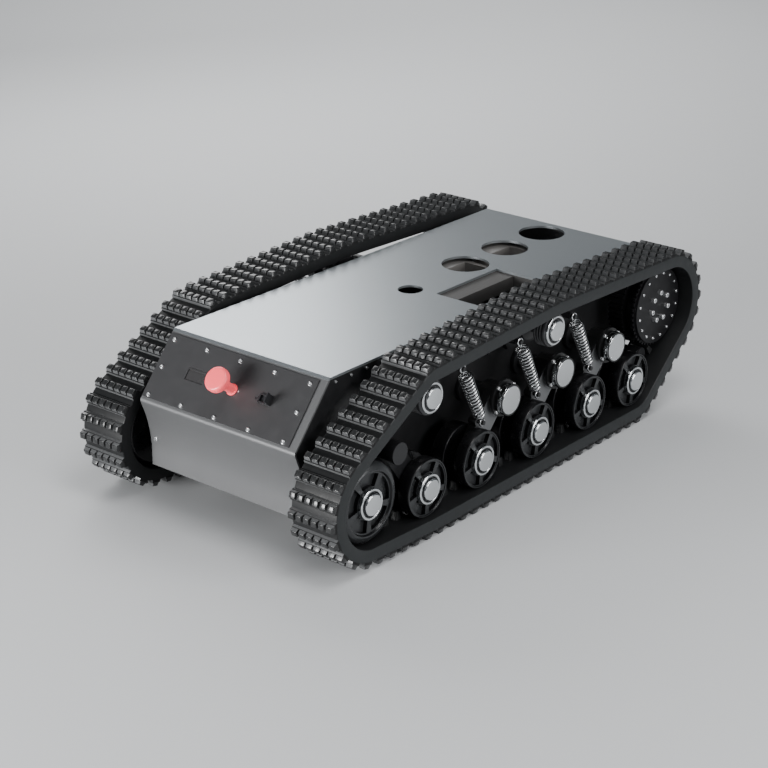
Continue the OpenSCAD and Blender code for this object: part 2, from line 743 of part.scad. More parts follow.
// Swing arm: pivot boss with its cap, a broad plate, the wheel's eye and the spring's ear and pin
module swing_arm(side, i) {
    axle = [wheel_x[i - 1], wheel_z];
    color([0.33, 0.34, 0.35])
        on_side(side) difference() {
            union() {
                slab(arm_y0, arm_y1) polygon(link(pivot_at(i), boss_r(i), axle, arm_eye_r));
                disc(axle, arm_eye_r, arm_y0, arm_y1);
                disc(pivot_at(i), boss_r(i), boss_in_y, boss_out_y(i));
                if (is_sprung(i)) {
                    disc(pivot_at(i), pivot_cap_r, boss_end_y, cap_face_y - 6);
                    disc(pivot_at(i), pivot_flange_r, pivot_flange_y[0], pivot_flange_y[1]);
                    slab(arm_y0, arm_y1) polygon(link(pivot_at(i) + ear_root, 16, ear_at(i), ear_r));
                    disc(ear_at(i), ear_r, arm_y0, arm_y1);
                    disc(ear_at(i), pin_r, arm_y1, spring_y + 4);
                }
            }
            disc(axle, hub_r + run_gap, arm_y0 - 1, arm_y1 + 1);
            disc(pivot_at(i), shaft_r(i) + run_gap, boss_in_y - 1, boss_out_y(i) - 3);
        }
}

// Fixed pivot shafts of all ten arms, with their flanges on the side walls
module arm_pivot_shafts() {
    color("silver")
        for (side = ["left", "right"], i = [1:5]) on_side(side) union() {
            disc(pivot_at(i), boss_r(i) + 2, wall_y, wall_y + 8);
            disc(pivot_at(i), shaft_r(i) + 4, wall_y + 8, boss_in_y - 1);
            disc(pivot_at(i), shaft_r(i), boss_in_y - 1, boss_out_y(i) - 3.5);
        }
}

// Hangers of the spring tops: a foot on the side wall and a pin through the spring's eye
module spring_hangers() {
    color("dimgray")
        for (side = ["left", "right"], i = spring_arms) on_side(side) union() {
            slab(wall_y, wall_y + 8) polygon([
                hanger_at(i) + [-16, 10], hanger_at(i) + [-16, -40], hanger_at(i) + [-6, -40],
                hanger_at(i) + [0, -14], hanger_at(i) + [8, -40], hanger_at(i) + [18, -40],
                hanger_at(i) + [18, 10]]);
            disc(hanger_at(i), 6, wall_y + 8, spring_y - 5);
            disc(hanger_at(i), pin_r, spring_y - 5, spring_y + 4);
        }
}

// Fixed axles and wall plates of the return rollers
module roller_brackets() {
    color("gray")
        for (side = ["left", "right"], at = [roller_front_at, roller_mid_at]) on_side(side) union() {
            slab(wall_y, wall_y + 6) polygon([
                at + [-24, 12], at + [24, 12], at + [24, -20], at + [6, -52], at + [-6, -52],
                at + [-24, -20]]);
            disc(at, 12, wall_y + 6, wall_y + 14);
            disc(at, roller_axle_r + 4, wall_y + 14, rim_in_y - 1);
            disc(at, roller_axle_r, rim_in_y - 1, axle_end_y - 0.5);
        }
}

// Idler brackets: slotted tension plate, its adjusting screw and the fixed axle
module idler_brackets() {
    color("gray")
        for (side = ["left", "right"]) on_side(side) union() {
            difference() {
                slab(wall_y, wall_y + 7) polygon([
                    idler_at + [-70, 22], idler_at + [24, 22], idler_at + [34, 10], idler_at + [34, -10],
                    idler_at + [24, -22], idler_at + [-70, -22]]);
                slab(wall_y - 1, wall_y + 8) polygon([
                    idler_at + [-60, 5], idler_at + [-36, 5], idler_at + [-36, -5], idler_at + [-60, -5]]);
            }
            disc(idler_at, 22, wall_y + 7, wall_y + 14);
            disc(idler_at, idler_axle_r + 5, wall_y + 14, rim_in_y - 1);
            disc(idler_at, idler_axle_r, rim_in_y - 1, axle_end_y - 0.5);
            translate([idler_at.x - 69, wall_y + 11, idler_at.y]) rotate([0, -90, 0])
                cylinder(h = 26, r = 4);
            translate([idler_at.x - 70, wall_y + 7, idler_at.y - 8]) cube([12, 8, 16]);
        }
}

// ---------------------------------------------------------------- springs

wire_r = 1.6;
coil_r = 9.2;
coil_turns = 17;
rings_per_turn = 9;
wire_sides = 6;
eye_r = 5.6;
coil_end = 14;

// Points of one coil about the Z axis, from height z0 to z1
function coil_path(z0, z1) = [for (k = [0:coil_turns * rings_per_turn])
    let (a = 360 * k / rings_per_turn, f = k / (coil_turns * rings_per_turn))
    [coil_r * cos(a), coil_r * sin(a), z0 + (z1 - z0) * f]];

// A round wire swept along a coil whose axis is Z
module coil(z0, z1) {
    path = coil_path(z0, z1);
    rise = (z1 - z0) / (coil_turns * 2 * PI * coil_r);
    n = len(path);
    points = [for (k = [0:n - 1], j = [0:wire_sides - 1])
        let (a = 360 * k / rings_per_turn, b = 360 * j / wire_sides, out = [cos(a), sin(a), 0],
             up = unit([sin(a) * rise, -cos(a) * rise, 1]))
        path[k] + wire_r * (cos(b) * out + sin(b) * up)];
    sides = [for (k = [0:n - 2], j = [0:wire_sides - 1])
        let (j2 = (j + 1) % wire_sides, p = k * wire_sides, q = p + wire_sides)
        each [[p + j, p + j2, q + j2], [p + j, q + j2, q + j]]];
    polyhedron(points, concat(sides, [[for (j = [wire_sides - 1:-1:0]) j]],
                              [[for (j = [0:wire_sides - 1]) (n - 1) * wire_sides + j]]));
}

// One coil spring between its two pins, with a plug and an eye at each end
module spring(i) {
    foot = ear_at(i);
    head = hanger_at(i);
    reach = norm(head - foot);
    lean = atan2(head.x - foot.x, head.y - foot.y);
    translate([foot.x, spring_y, foot.y]) rotate([0, lean, 0]) {
        coil(coil_end + wire_r, reach - coil_end - wire_r);
        for (flip = [0, 1])
            translate([0, 0, flip * reach]) mirror([0, 0, flip]) union() {
                rotate([90, 0, 0]) rotate_extrude() translate([eye_r, 0]) circle(r = wire_r);
                translate([0, 0, eye_r + wire_r - 1])
                    cylinder(h = coil_end - eye_r - wire_r - 0.8, r = eye_r);
            }
    }
}

// The three coil springs of one side
module coil_springs(side) {
    color("gainsboro")
        on_side(side) for (i = spring_arms) spring(i);
}

// ---------------------------------------------------------------- what is drawn

hull_tub();
deck_plate();
nose_plate();
front_cover();
rear_plate();
access_well();
display_window();
charge_port();
port_flap();
estop_collar();
estop_button();
cover_screws();
wall_rivets();
arm_pivot_shafts();
spring_hangers();
idler_brackets();
roller_brackets();
battery_pack();
control_box();
motor_driver();
for (side = ["left", "right"]) {
    track_belt(side);
    track_lugs(side);
    coil_springs(side);
    gear_motor(side);
    sprocket(side);
    sprocket_screws(side);
    idler(side);
    return_roller(side, roller_front_at);
    return_roller(side, roller_mid_at);
    for (i = [1:5]) {
        road_wheel(side, i);
        swing_arm(side, i);
    }
}
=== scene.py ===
import json
import math

import bmesh
import bpy
from mathutils import Matrix, Vector


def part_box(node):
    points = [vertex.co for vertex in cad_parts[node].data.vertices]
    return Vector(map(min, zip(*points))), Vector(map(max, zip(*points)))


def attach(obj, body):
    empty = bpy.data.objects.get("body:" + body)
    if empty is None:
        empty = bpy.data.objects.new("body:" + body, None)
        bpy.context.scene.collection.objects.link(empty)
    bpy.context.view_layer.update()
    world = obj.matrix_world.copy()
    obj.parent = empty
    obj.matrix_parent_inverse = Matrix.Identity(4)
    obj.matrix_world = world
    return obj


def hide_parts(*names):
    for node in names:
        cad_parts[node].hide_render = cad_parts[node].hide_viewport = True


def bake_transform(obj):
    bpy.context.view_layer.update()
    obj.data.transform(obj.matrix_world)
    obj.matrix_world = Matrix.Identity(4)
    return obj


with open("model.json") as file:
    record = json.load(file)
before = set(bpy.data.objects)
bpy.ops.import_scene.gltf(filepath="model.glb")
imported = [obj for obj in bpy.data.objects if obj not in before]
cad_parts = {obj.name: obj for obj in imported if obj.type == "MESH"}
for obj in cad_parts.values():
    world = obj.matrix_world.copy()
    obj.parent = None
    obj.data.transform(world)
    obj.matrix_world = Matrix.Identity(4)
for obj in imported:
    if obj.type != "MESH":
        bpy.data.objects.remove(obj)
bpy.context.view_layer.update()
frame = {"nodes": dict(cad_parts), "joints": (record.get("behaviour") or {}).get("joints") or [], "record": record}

MM = 0.001
SIDES = {"left": 1, "right": -1}
JOINTS = {joint["name"]: joint for joint in frame["joints"]}
RECORD = frame["record"]


# ---------------------------------------------------------------- places taken from the frame

def centre(joint):
    """A joint's place as (x, z), in millimetres."""
    x, _, z = JOINTS[joint]["pos_m"]
    return x / MM, z / MM


def y_band(node):
    low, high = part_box(node)
    return sorted((abs(low[1]) / MM, abs(high[1]) / MM))


BELT_IN, BELT_OUT = y_band("track_belt_left")
BELT_MID = (BELT_IN + BELT_OUT) / 2
DECK_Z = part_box("deck_plate")[1][2] / MM
DECK_FRONT = 370.0
NOSE_LEAN = math.radians(40)
SPRUNG_ARMS = (2, 3, 4)
BODY_OF = {node: body for body, nodes in RECORD["behaviour"]["bodies"].items() for node in nodes}


# ---------------------------------------------------------------- materials

def material(name):
    made = bpy.data.materials.new(name)
    made.use_nodes = True
    tree = made.node_tree
    return made, tree, tree.nodes["Principled BSDF"]


def noise(tree, coords, scale, detail=4.0, rough=0.55, stretch=(1, 1, 1)):
    """A noise texture over the row frame's coordinates, with its scale in cycles per metre."""
    mapping = tree.nodes.new("ShaderNodeMapping")
    mapping.inputs["Scale"].default_value = stretch
    tree.links.new(coords, mapping.inputs["Vector"])
    made = tree.nodes.new("ShaderNodeTexNoise")
    made.inputs["Scale"].default_value = scale
    made.inputs["Detail"].default_value = detail
    made.inputs["Roughness"].default_value = rough
    tree.links.new(mapping.outputs["Vector"], made.inputs["Vector"])
    return made.outputs["Fac"]


def spread(tree, value, low, high, start=0.3, end=0.7):
    """Maps a noise value from start..end to low..high."""
    made = tree.nodes.new("ShaderNodeMapRange")
    for socket, number in (("From Min", start), ("From Max", end), ("To Min", low), ("To Max", high)):
        made.inputs[socket].default_value = number
    tree.links.new(value, made.inputs["Value"])
    return made.outputs["Result"]


def blend_colors(tree, fac, one, two):
    made = tree.nodes.new("ShaderNodeMix")
    made.data_type = "RGBA"
    tree.links.new(fac, made.inputs["Factor"])
    made.inputs["A"].default_value = (*one, 1)
    made.inputs["B"].default_value = (*two, 1)
    return made.outputs["Result"]


def bump(tree, shader, height, strength, distance):
    made = tree.nodes.new("ShaderNodeBump")
    made.inputs["Strength"].default_value = strength
    made.inputs["Distance"].default_value = distance
    tree.links.new(height, made.inputs["Height"])
    tree.links.new(made.outputs["Normal"], shader.inputs["Normal"])


def scaled(color, factor):
    return tuple(min(1.0, c * factor) for c in color)


def finish_material(name, color, metallic, rough, variation=0.12, grain=900.0, grain_depth=0.00004,
                    stretch=(1, 1, 1), coat=0.0, scuff=0.07, specular=0.5):
    """A surface with cloudy colour, scuffs in its gloss and a fine grain."""
    made, tree, shader = material(name)
    coords = tree.nodes.new("ShaderNodeTexCoord").outputs["Object"]
    clouds = noise(tree, coords, 14.0, 5.0)
    scuffs = noise(tree, coords, 60.0, 6.0, 0.7, stretch)
    fine = noise(tree, coords, grain, 3.0, 0.6, stretch)
    tint = blend_colors(tree, clouds, scaled(color, 1 - variation), scaled(color, 1 + variation))
    tree.links.new(tint, shader.inputs["Base Color"])
    tree.links.new(spread(tree, scuffs, rough - scuff, rough + scuff), shader.inputs["Roughness"])
    shader.inputs["Metallic"].default_value = metallic
    shader.inputs["Coat Weight"].default_value = coat
    shader.inputs["Specular IOR Level"].default_value = specular
    bump(tree, shader, fine, 0.35, grain_depth)
    return made


def math_node(tree, operation, *values):
    """One arithmetic step; its inputs are sockets or numbers."""
    made = tree.nodes.new("ShaderNodeMath")
    made.operation = operation
    for socket, value in zip(made.inputs, values):
        if isinstance(value, (int, float)):
            socket.default_value = value
        else:
            tree.links.new(value, socket)
    return made.outputs["Value"]


def sideways(tree, vector):
    """The size of a vector's Y part."""
    split = tree.nodes.new("ShaderNodeSeparateXYZ")
    tree.links.new(vector, split.inputs["Vector"])
    return math_node(tree, "ABSOLUTE", split.outputs["Y"])


def painted_lit_face_material(name, lit_face_color, painted_shade_color, y_from, y_to=1.0, **finish):
    """A finish painted with a lighter colour, as painted light, on faces that look sideways and lie between |y| =
    y_from and y_to, and with a darker colour, as painted shade, on all other faces.
    """
    made = finish_material(name, lit_face_color, **finish)
    tree = made.node_tree
    shader = tree.nodes["Principled BSDF"]
    tint = shader.inputs["Base Color"].links[0].from_socket
    place = sideways(tree, tree.nodes["Texture Coordinate"].outputs["Object"])
    facing = sideways(tree, tree.nodes.new("ShaderNodeNewGeometry").outputs["Normal"])
    band = math_node(tree, "MULTIPLY", spread(tree, place, 0.0, 1.0, y_from - 0.0006, y_from + 0.0002),
                     spread(tree, place, 1.0, 0.0, y_to, y_to + 0.0008))
    # Painted light: sideways faces in the band keep the lighter colour, every other face gets the darker painted
    # shade.
    painted_light_mask = math_node(tree, "MULTIPLY", band, spread(tree, facing, 0.0, 1.0, 0.55, 0.8))
    both = tree.nodes.new("ShaderNodeMix")
    both.data_type = "RGBA"
    tree.links.new(painted_light_mask, both.inputs["Factor"])
    both.inputs["A"].default_value = (*painted_shade_color, 1)
    tree.links.new(tint, both.inputs["B"])
    tree.links.new(both.outputs["Result"], shader.inputs["Base Color"])
    return made


BRUSHED = (1, 12, 1)
# Bands in |y| whose sideways faces get the lighter colour as painted light; all else gets painted shade.
WHEEL_FACE_Y = 0.2375
BELT_FACE_Y = 0.2570
ARM_PLATE_Y = (0.2000, 0.2312)


def paint_materials():
    return {
        "hull_paint": finish_material("hull_paint", (0.009, 0.0092, 0.010), 0.2, 0.38, 0.15),
        "nose_paint": finish_material(
            "nose_paint", (0.125, 0.127, 0.130), 0.6, 0.50, 0.05, 900, 0.00002, BRUSHED, scuff=0.03),
        "cover_black": finish_material("cover_black", (0.050, 0.050, 0.052), 0.4, 0.38, 0.04),
        "bracket_paint": finish_material("bracket_paint", (0.018, 0.0185, 0.020), 0.4, 0.34, 0.12),
        # Painted light: the arm plate's sideways face is painted lighter, its edges and boss walls darker as
        # painted shade.
        "arm_metal": painted_lit_face_material(
            "arm_metal", (0.140, 0.144, 0.149), (0.014, 0.0145, 0.015), *ARM_PLATE_Y,
            metallic=0.4, rough=0.36, variation=0.08),
        # Painted shade: only the wheels' sideways outer faces keep the grey; pocket walls, tread and inner disc
        # are painted darker.
        "wheel_metal": painted_lit_face_material(
            "wheel_metal", (0.034, 0.036, 0.038), (0.006, 0.006, 0.007), WHEEL_FACE_Y,
            metallic=0.45, rough=0.30, variation=0.06),
        "sprocket_black": finish_material(
            "sprocket_black", (0.007, 0.007, 0.008), 0.2, 0.42, 0.15, specular=0.3),
    }


def metal_materials():
    return {
        "deck_metal": finish_material(
            "deck_metal", (0.40, 0.43, 0.45), 0.92, 0.35, 0.02, 700, 0.000004, BRUSHED, scuff=0.02),
        "steel": finish_material("steel", (0.85, 0.86, 0.87), 0.9, 0.24, 0.05, 700, 0.00002),
        "box_metal": finish_material(
            "box_metal", (0.17, 0.162, 0.155), 0.3, 0.42, 0.05, 700, 0.00003, BRUSHED),
        "well_metal": finish_material(
            "well_metal", (0.075, 0.073, 0.071), 0.3, 0.5, 0.05, 700, 0.00003, BRUSHED),
        "driver_metal": finish_material("driver_metal", (0.03, 0.031, 0.032), 0.6, 0.4),
        "motor_metal": finish_material("motor_metal", (0.025, 0.025, 0.027), 0.5, 0.4),
        "chrome": finish_material("chrome", (0.68, 0.70, 0.71), 1.0, 0.17, 0.03, 500, 0.00001),
        "spring_steel": finish_material("spring_steel", (0.60, 0.61, 0.62), 1.0, 0.22, 0.05, 500, 0.00001),
    }


def plastic_materials():
    made = {
        "display": finish_material("display", (0.040, 0.039, 0.040), 0.2, 0.25, 0.02, 400, 0.00001, coat=0.2),
        "black_plastic": finish_material("black_plastic", (0.014, 0.014, 0.016), 0.0, 0.4),
        "red_plastic": finish_material(
            "red_plastic", (0.95, 0.10, 0.12), 0.0, 0.34, 0.02, 500, 0.00001, coat=0.1),
        "roller_plastic": finish_material("roller_plastic", (0.022, 0.022, 0.024), 0.0, 0.38),
        "battery_case": finish_material("battery_case", (0.03, 0.034, 0.045), 0.0, 0.5),
    }
    # Painted light: the red plastic glows a little, though the e-stop has no lamp in it.
    painted_glow = made["red_plastic"].node_tree.nodes["Principled BSDF"]
    painted_glow.inputs["Emission Color"].default_value = (1.0, 0.10, 0.12, 1)
    painted_glow.inputs["Emission Strength"].default_value = 0.15
    return made


def rubber_materials():
    return {
        # Painted sheen: the belt's sideways outer face is painted lighter; inner faces and guide teeth are painted
        # darker as shade.
        "track_rubber": painted_lit_face_material(
            "track_rubber", (0.017, 0.019, 0.020), (0.009, 0.0095, 0.010), BELT_FACE_Y,
            metallic=0.0, rough=0.46, variation=0.10, grain=1100, grain_depth=0.00002, specular=0.25),
        "lug_rubber": finish_material("lug_rubber", (0.015, 0.0155, 0.016), 0.0, 0.24, 0.12, 1100, 0.00002),
        # Painted light on the lug flanks (lighter) and painted shade on the bars' other faces (darker).
        "lug_flank_painted_light": finish_material("lug_flank_painted_light", (0.075, 0.077, 0.079), 0.0, 0.30, 0.20, 1100, 0.00002),
        "bar_painted_shade": finish_material(
            "bar_painted_shade", (0.007, 0.0072, 0.0075), 0.0, 0.55, 0.12, 1100, 0.00002, specular=0.2),
    }


MATERIALS = {**paint_materials(), **metal_materials(), **plastic_materials(), **rubber_materials()}


def paint(obj, slot):
    obj.data.materials.clear()
    obj.data.materials.append(MATERIALS[slot])


# ---------------------------------------------------------------- mesh helpers

def piece(name, mesh, body, slot, smooth_angle=35.0):
    """Puts a bmesh, built in millimetres, into the scene; it rides on a body unless that is None."""
    data = bpy.data.meshes.new(name)
    bmesh.ops.scale(mesh, vec=(MM, MM, MM), verts=mesh.verts)
    bmesh.ops.recalc_face_normals(mesh, faces=mesh.faces)
    mesh.to_mesh(data)
    mesh.free()
    obj = bpy.data.objects.new(name, data)
    bpy.context.scene.collection.objects.link(obj)
    data.materials.append(MATERIALS[slot])
    shade(obj, smooth_angle)
    if body:
        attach(obj, body)
    return obj


def shade(obj, angle):
    """Smooth shading, broken at edges sharper than the angle."""
    data = obj.data
    data.polygons.foreach_set("use_smooth", [True] * len(data.polygons))
    data.set_sharp_from_angle(angle=math.radians(angle))


def spin(mesh, outline, matrix, segments=64, hexed=0):
    """Turns an outline of (radius, height) about the matrix's Z axis; its last points may be hexagonal."""
    rings = []
    for n, (radius, height) in enumerate(outline):
        if radius < 1e-6:
            rings.append([mesh.verts.new(matrix @ Vector((0, 0, height)))])
            continue
        ring = []
        for k in range(segments):
            a = 2 * math.pi * k / segments
            flat = math.cos(a % (math.pi / 3) - math.pi / 6) if n >= len(outline) - hexed else 1.0
            reach = radius / flat
            ring.append(mesh.verts.new(matrix @ Vector((reach * math.cos(a), reach * math.sin(a), height))))
        rings.append(ring)
    for one, two in zip(rings, rings[1:]):
        for k in range(segments):
            j = (k + 1) % segments
            corners = [one[k % len(one)], one[j % len(one)], two[j % len(two)], two[k % len(two)]]
            mesh.faces.new(list(dict.fromkeys(corners)))


def side_matrix(at, side):
    """From a frame whose Z points outward from the hull, at (x, z), to the row frame."""
    return Matrix(((1, 0, 0, at[0]), (0, 0, SIDES[side], 0), (0, 1, 0, at[1]), (0, 0, 0, 1)))


def screw_head(mesh, matrix, radius, height, dome, segments=24):
    """A screw head with rounded shoulders and a hexagonal recess, standing on the matrix's Z axis."""
    key = 0.48 * radius
    outline = rounded([(radius, 0), (radius, height), (key, height)], dome)
    recess = [(key, height), (key, 0.4 * height), (0, 0.4 * height)]
    spin(mesh, outline + recess, matrix, segments, 3)


def rounded(outline, radius, steps=3):
    """The outline with each inner corner replaced by a short arc."""
    points = [Vector(p) for p in outline]
    made = [points[0]]
    for before, here, after in zip(points, points[1:], points[2:]):
        back = before - here
        ahead = after - here
        reach = min(radius, back.length * 0.45, ahead.length * 0.45)
        start = here + back.normalized() * reach
        end = here + ahead.normalized() * reach
        for k in range(steps + 1):
            t = k / steps
            made.append((1 - t) ** 2 * start + 2 * t * (1 - t) * here + t ** 2 * end)
    made.append(points[-1])
    return [tuple(p) for p in made]


def tube(mesh, path, radius, sides=8):
    """A round wire along a path, closed at both ends."""
    points = [Vector(p) for p in path]
    across = None
    rings = []
    for k, here in enumerate(points):
        along = (points[min(k + 1, len(points) - 1)] - points[max(k - 1, 0)]).normalized()
        if across is None:
            across = along.orthogonal().normalized()
        across = (across - along * across.dot(along)).normalized()
        other = along.cross(across)
        rings.append([mesh.verts.new(here + radius * (math.cos(a) * across + math.sin(a) * other))
                      for a in (2 * math.pi * j / sides for j in range(sides))])
    for one, two in zip(rings, rings[1:]):
        for j in range(sides):
            i = (j + 1) % sides
            mesh.faces.new((one[j], one[i], two[i], two[j]))
    mesh.faces.new(rings[0])
    mesh.faces.new(rings[-1])


def block(mesh, low, high, taper, bevel, segments=2):
    """A box with rounded upper edges, whose top is narrower by taper at each X and each Y side."""
    made = bmesh.new()
    (x0, y0, z0), (x1, y1, z1) = low, high
    tx, ty = taper
    corners = [(x0, y0, z0), (x1, y0, z0), (x1, y1, z0), (x0, y1, z0),
               (x0 + tx, y0 + ty, z1), (x1 - tx, y0 + ty, z1), (x1 - tx, y1 - ty, z1), (x0 + tx, y1 - ty, z1)]
    verts = [made.verts.new(c) for c in corners]
    for face in ((0, 3, 2, 1), (4, 5, 6, 7), (0, 1, 5, 4), (1, 2, 6, 5), (2, 3, 7, 6), (3, 0, 4, 7)):
        made.faces.new([verts[i] for i in face])
    upper = [e for e in made.edges if max(v.co.z for v in e.verts) > z0 + 1e-6]
    bmesh.ops.bevel(made, geom=upper, offset=bevel, segments=segments, affect="EDGES", profile=0.5)
    data = bpy.data.meshes.new("block")
    made.to_mesh(data)
    made.free()
    mesh.from_mesh(data)
    bpy.data.meshes.remove(data)


def stamp(mesh, template, matrix):
    """Adds a transformed copy of a template mesh."""
    before = len(mesh.verts)
    mesh.from_mesh(template)
    mesh.verts.ensure_lookup_table()
    bmesh.ops.transform(mesh, matrix=matrix, verts=mesh.verts[before:])


def as_template(mesh):
    data = bpy.data.meshes.new("template")
    mesh.to_mesh(data)
    mesh.free()
    return data


# ---------------------------------------------------------------- the belt's path

BELT_GAP = 0.3
SPROCKET_GAP = 1.0
IDLER_R = 65.0
ROLLER_R = 28.0
SPROCKET_R = 70.0
WHEEL_R = 46.0
BELT_T = 20.0
BAR_H = 4.0
BAR_HALF = 9.0
BAR_TAPER = (1.0, 0.4)
BAR_BEVEL = 0.5
BLOCK_H = 6.0
BLOCK_HALF = 6.8
BLOCK_TAPER = (2.1, 1.2)
BLOCK_BEVEL = 0.9
BLOCKS = 6
NOTCH = 1.6
END_GAP = 0.2
ROOT = 1.0
GUIDE_H = 14.0
GUIDE_W = 12.0
GUIDE_HALF = 6.0
GUIDE_TAPER = (2.0, 1.0)
GUIDE_BEVEL = 1.0
LUG_PITCH = 28.0
GUIDE_PITCH = 28.0


def belt_wraps():
    """The circles that the belt's inner face wraps, as (x, z, radius)."""
    wheels = [("idler_left_spin", IDLER_R + BELT_GAP),
              ("return_roller_front_left_spin", ROLLER_R + BELT_GAP),
              ("return_roller_mid_left_spin", ROLLER_R + BELT_GAP),
              ("sprocket_left_spin", SPROCKET_R + SPROCKET_GAP),
              ("road_wheel_left_5_spin", WHEEL_R + BELT_GAP),
              ("road_wheel_left_1_spin", WHEEL_R + BELT_GAP)]
    return [(*centre(joint), radius) for joint, radius in wheels]


def belt_stages():
    """Each arc of the inner face and the straight after it, as (x, z, radius, start, turn, line)."""
    wraps = belt_wraps()
    leaves = []
    for k, (x, z, r) in enumerate(wraps):
        x2, z2, r2 = wraps[(k + 1) % len(wraps)]
        leaves.append(math.atan2(z2 - z, x2 - x) - math.acos((r - r2) / math.hypot(x2 - x, z2 - z)))
    stages = []
    for k, (x, z, r) in enumerate(wraps):
        x2, z2, r2 = wraps[(k + 1) % len(wraps)]
        start = leaves[k - 1]
        turn = (leaves[k] - start) % (2 * math.pi)
        line = math.sqrt((x2 - x) ** 2 + (z2 - z) ** 2 - (r - r2) ** 2)
        stages.append((x, z, r, start, turn, line))
    return stages


STAGES = belt_stages()


def loop_len(out):
    """Length of the belt's loop at a height above its inner face."""
    return sum((r + out) * turn + line for x, z, r, start, turn, line in STAGES)


def on_belt(s, out):
    """(x, z, angle of the outward normal) at a length along the loop at a height above the inner face."""
    for x, z, r, start, turn, line in STAGES:
        arc = (r + out) * turn
        if s <= arc + line:
            angle = start + min(s, arc) / (r + out)
            run = max(0.0, s - arc)
            return (x + (r + out) * math.cos(angle) - run * math.sin(angle),
                    z + (r + out) * math.sin(angle) + run * math.cos(angle), angle)
        s -= arc + line
    return on_belt(0.0, out)


def belt_matrix(s, out, side):
    """From a lug's own frame (X along the belt, Y across it, Z outward) to the row frame."""
    x, z, a = on_belt(s, out)
    return Matrix(((-math.sin(a), 0, math.cos(a), x), (0, 1, 0, SIDES[side] * BELT_MID),
                   (math.cos(a), 0, math.sin(a), z), (0, 0, 0, 1)))


def lug_template():
    """One lug: a full-width bar with six rounded blocks. Flanks take material 1, painted lighter as painted light;
    the bar's other faces take material 2, painted darker as painted shade.
    """
    mesh = bmesh.new()
    half = (BELT_OUT - BELT_IN) / 2
    block(mesh, (-BAR_HALF, -half, -ROOT), (BAR_HALF, half, BAR_H), BAR_TAPER, BAR_BEVEL)
    step = 2 * half / BLOCKS
    for k in range(BLOCKS):
        y0 = -half + step * k + (NOTCH / 2 if k else END_GAP)
        y1 = -half + step * (k + 1) - (NOTCH / 2 if k < BLOCKS - 1 else END_GAP)
        block(mesh, (-BLOCK_HALF, y0, BAR_H - ROOT), (BLOCK_HALF, y1, BAR_H + BLOCK_H), BLOCK_TAPER, BLOCK_BEVEL)
    mesh.normal_update()
    # Painted light by face direction: faces looking along the belt get the lighter flank colour, the bar's
    # remaining faces the darker painted shade.
    for face in mesh.faces:
        on_bar = face.calc_center_median().z < BAR_H + 0.1
        face.material_index = 1 if abs(face.normal.x) > 0.85 else 2 if on_bar else 0
    return as_template(mesh)


def guide_template():
    """One guide tooth, pointing inward from the belt's inner face."""
    mesh = bmesh.new()
    block(mesh, (-GUIDE_HALF, -GUIDE_W / 2, -ROOT), (GUIDE_HALF, GUIDE_W / 2, GUIDE_H), GUIDE_TAPER, GUIDE_BEVEL)
    bmesh.ops.scale(mesh, vec=(1, 1, -1), verts=mesh.verts)
    return as_template(mesh)


def spread_along(mesh, template, pitch, out, side):
    """Stamps a template at even spaces along the loop at a height above the inner face."""
    length = loop_len(out)
    count = round(length / pitch)
    for k in range(count):
        stamp(mesh, template, belt_matrix(length * (k + 0.5) / count, out, side))


BELT_CORNER_R = 1.6
BELT_STEP = 5


def make_belt(side):
    """The smooth belt with its guide teeth, and the tread of lugs on it."""
    mesh = bmesh.new()
    half = (BELT_OUT - BELT_IN) / 2
    corners = [(0, 0), (half, 0), (half, BELT_T), (-half, BELT_T), (-half, 0), (0, 0)]
    section = rounded(corners, BELT_CORNER_R)[:-1]
    length = loop_len(0)
    count = round(length / BELT_STEP)
    rings = []
    for k in range(count):
        matrix = belt_matrix(length * k / count, 0, side)
        rings.append([mesh.verts.new(matrix @ Vector((0, y, h))) for y, h in section])
    for k in range(count):
        one, two = rings[k], rings[(k + 1) % count]
        for j in range(len(section)):
            i = (j + 1) % len(section)
            mesh.faces.new((one[j], one[i], two[i], two[j]))
    spread_along(mesh, guide_template(), GUIDE_PITCH, 0, side)
    band = piece(f"track_band_{side}", mesh, "chassis", "track_rubber", 40)
    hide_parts(f"track_belt_{side}")
    mesh = bmesh.new()
    spread_along(mesh, lug_template(), LUG_PITCH, BELT_T, side)
    lugs = piece(f"track_tread_{side}", mesh, "chassis", "track_rubber", 40)
    lugs.data.materials[0] = MATERIALS["lug_rubber"]
    # Material 1 is the lug flanks' painted light, material 2 the bars' painted shade.
    lugs.data.materials.append(MATERIALS["lug_flank_painted_light"])
    lugs.data.materials.append(MATERIALS["bar_painted_shade"])
    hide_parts(f"track_lugs_{side}")


# ---------------------------------------------------------------- chrome caps and screws

def hub_cap_outline(face):
    """Chrome hub cap: a raised boss inside a dished ring. face is the height of the boss's face."""
    return rounded([(0, face), (15.4, face), (16.8, face - 1.4), (16.8, face - 6.5), (19.0, face - 6.5),
                    (20.4, face - 3.6), (23.2, face - 3.6), (24.1, face - 4.6), (24.1, face - 9)], 0.7)


def pivot_cap_outline(face):
    """Chrome pivot cap: a flat face with a low step round it."""
    return rounded([(0, face), (22.2, face), (23.0, face - 0.8), (25.2, face - 1.6), (25.3, face - 9)], 0.7)


CAP_BELOW_BELT_EDGE = 3.8


def make_caps():
    """The hub caps of the road wheels, idlers and return rollers."""
    face = BELT_OUT - CAP_BELOW_BELT_EDGE
    for side in SIDES:
        for stem in [f"road_wheel_{side}_{i}" for i in range(1, 6)] + [
                f"idler_{side}", f"return_roller_front_{side}", f"return_roller_mid_{side}"]:
            mesh = bmesh.new()
            spin(mesh, hub_cap_outline(face), side_matrix(centre(f"{stem}_spin"), side))
            piece(f"hub_cap_{stem}", mesh, stem, "chrome")


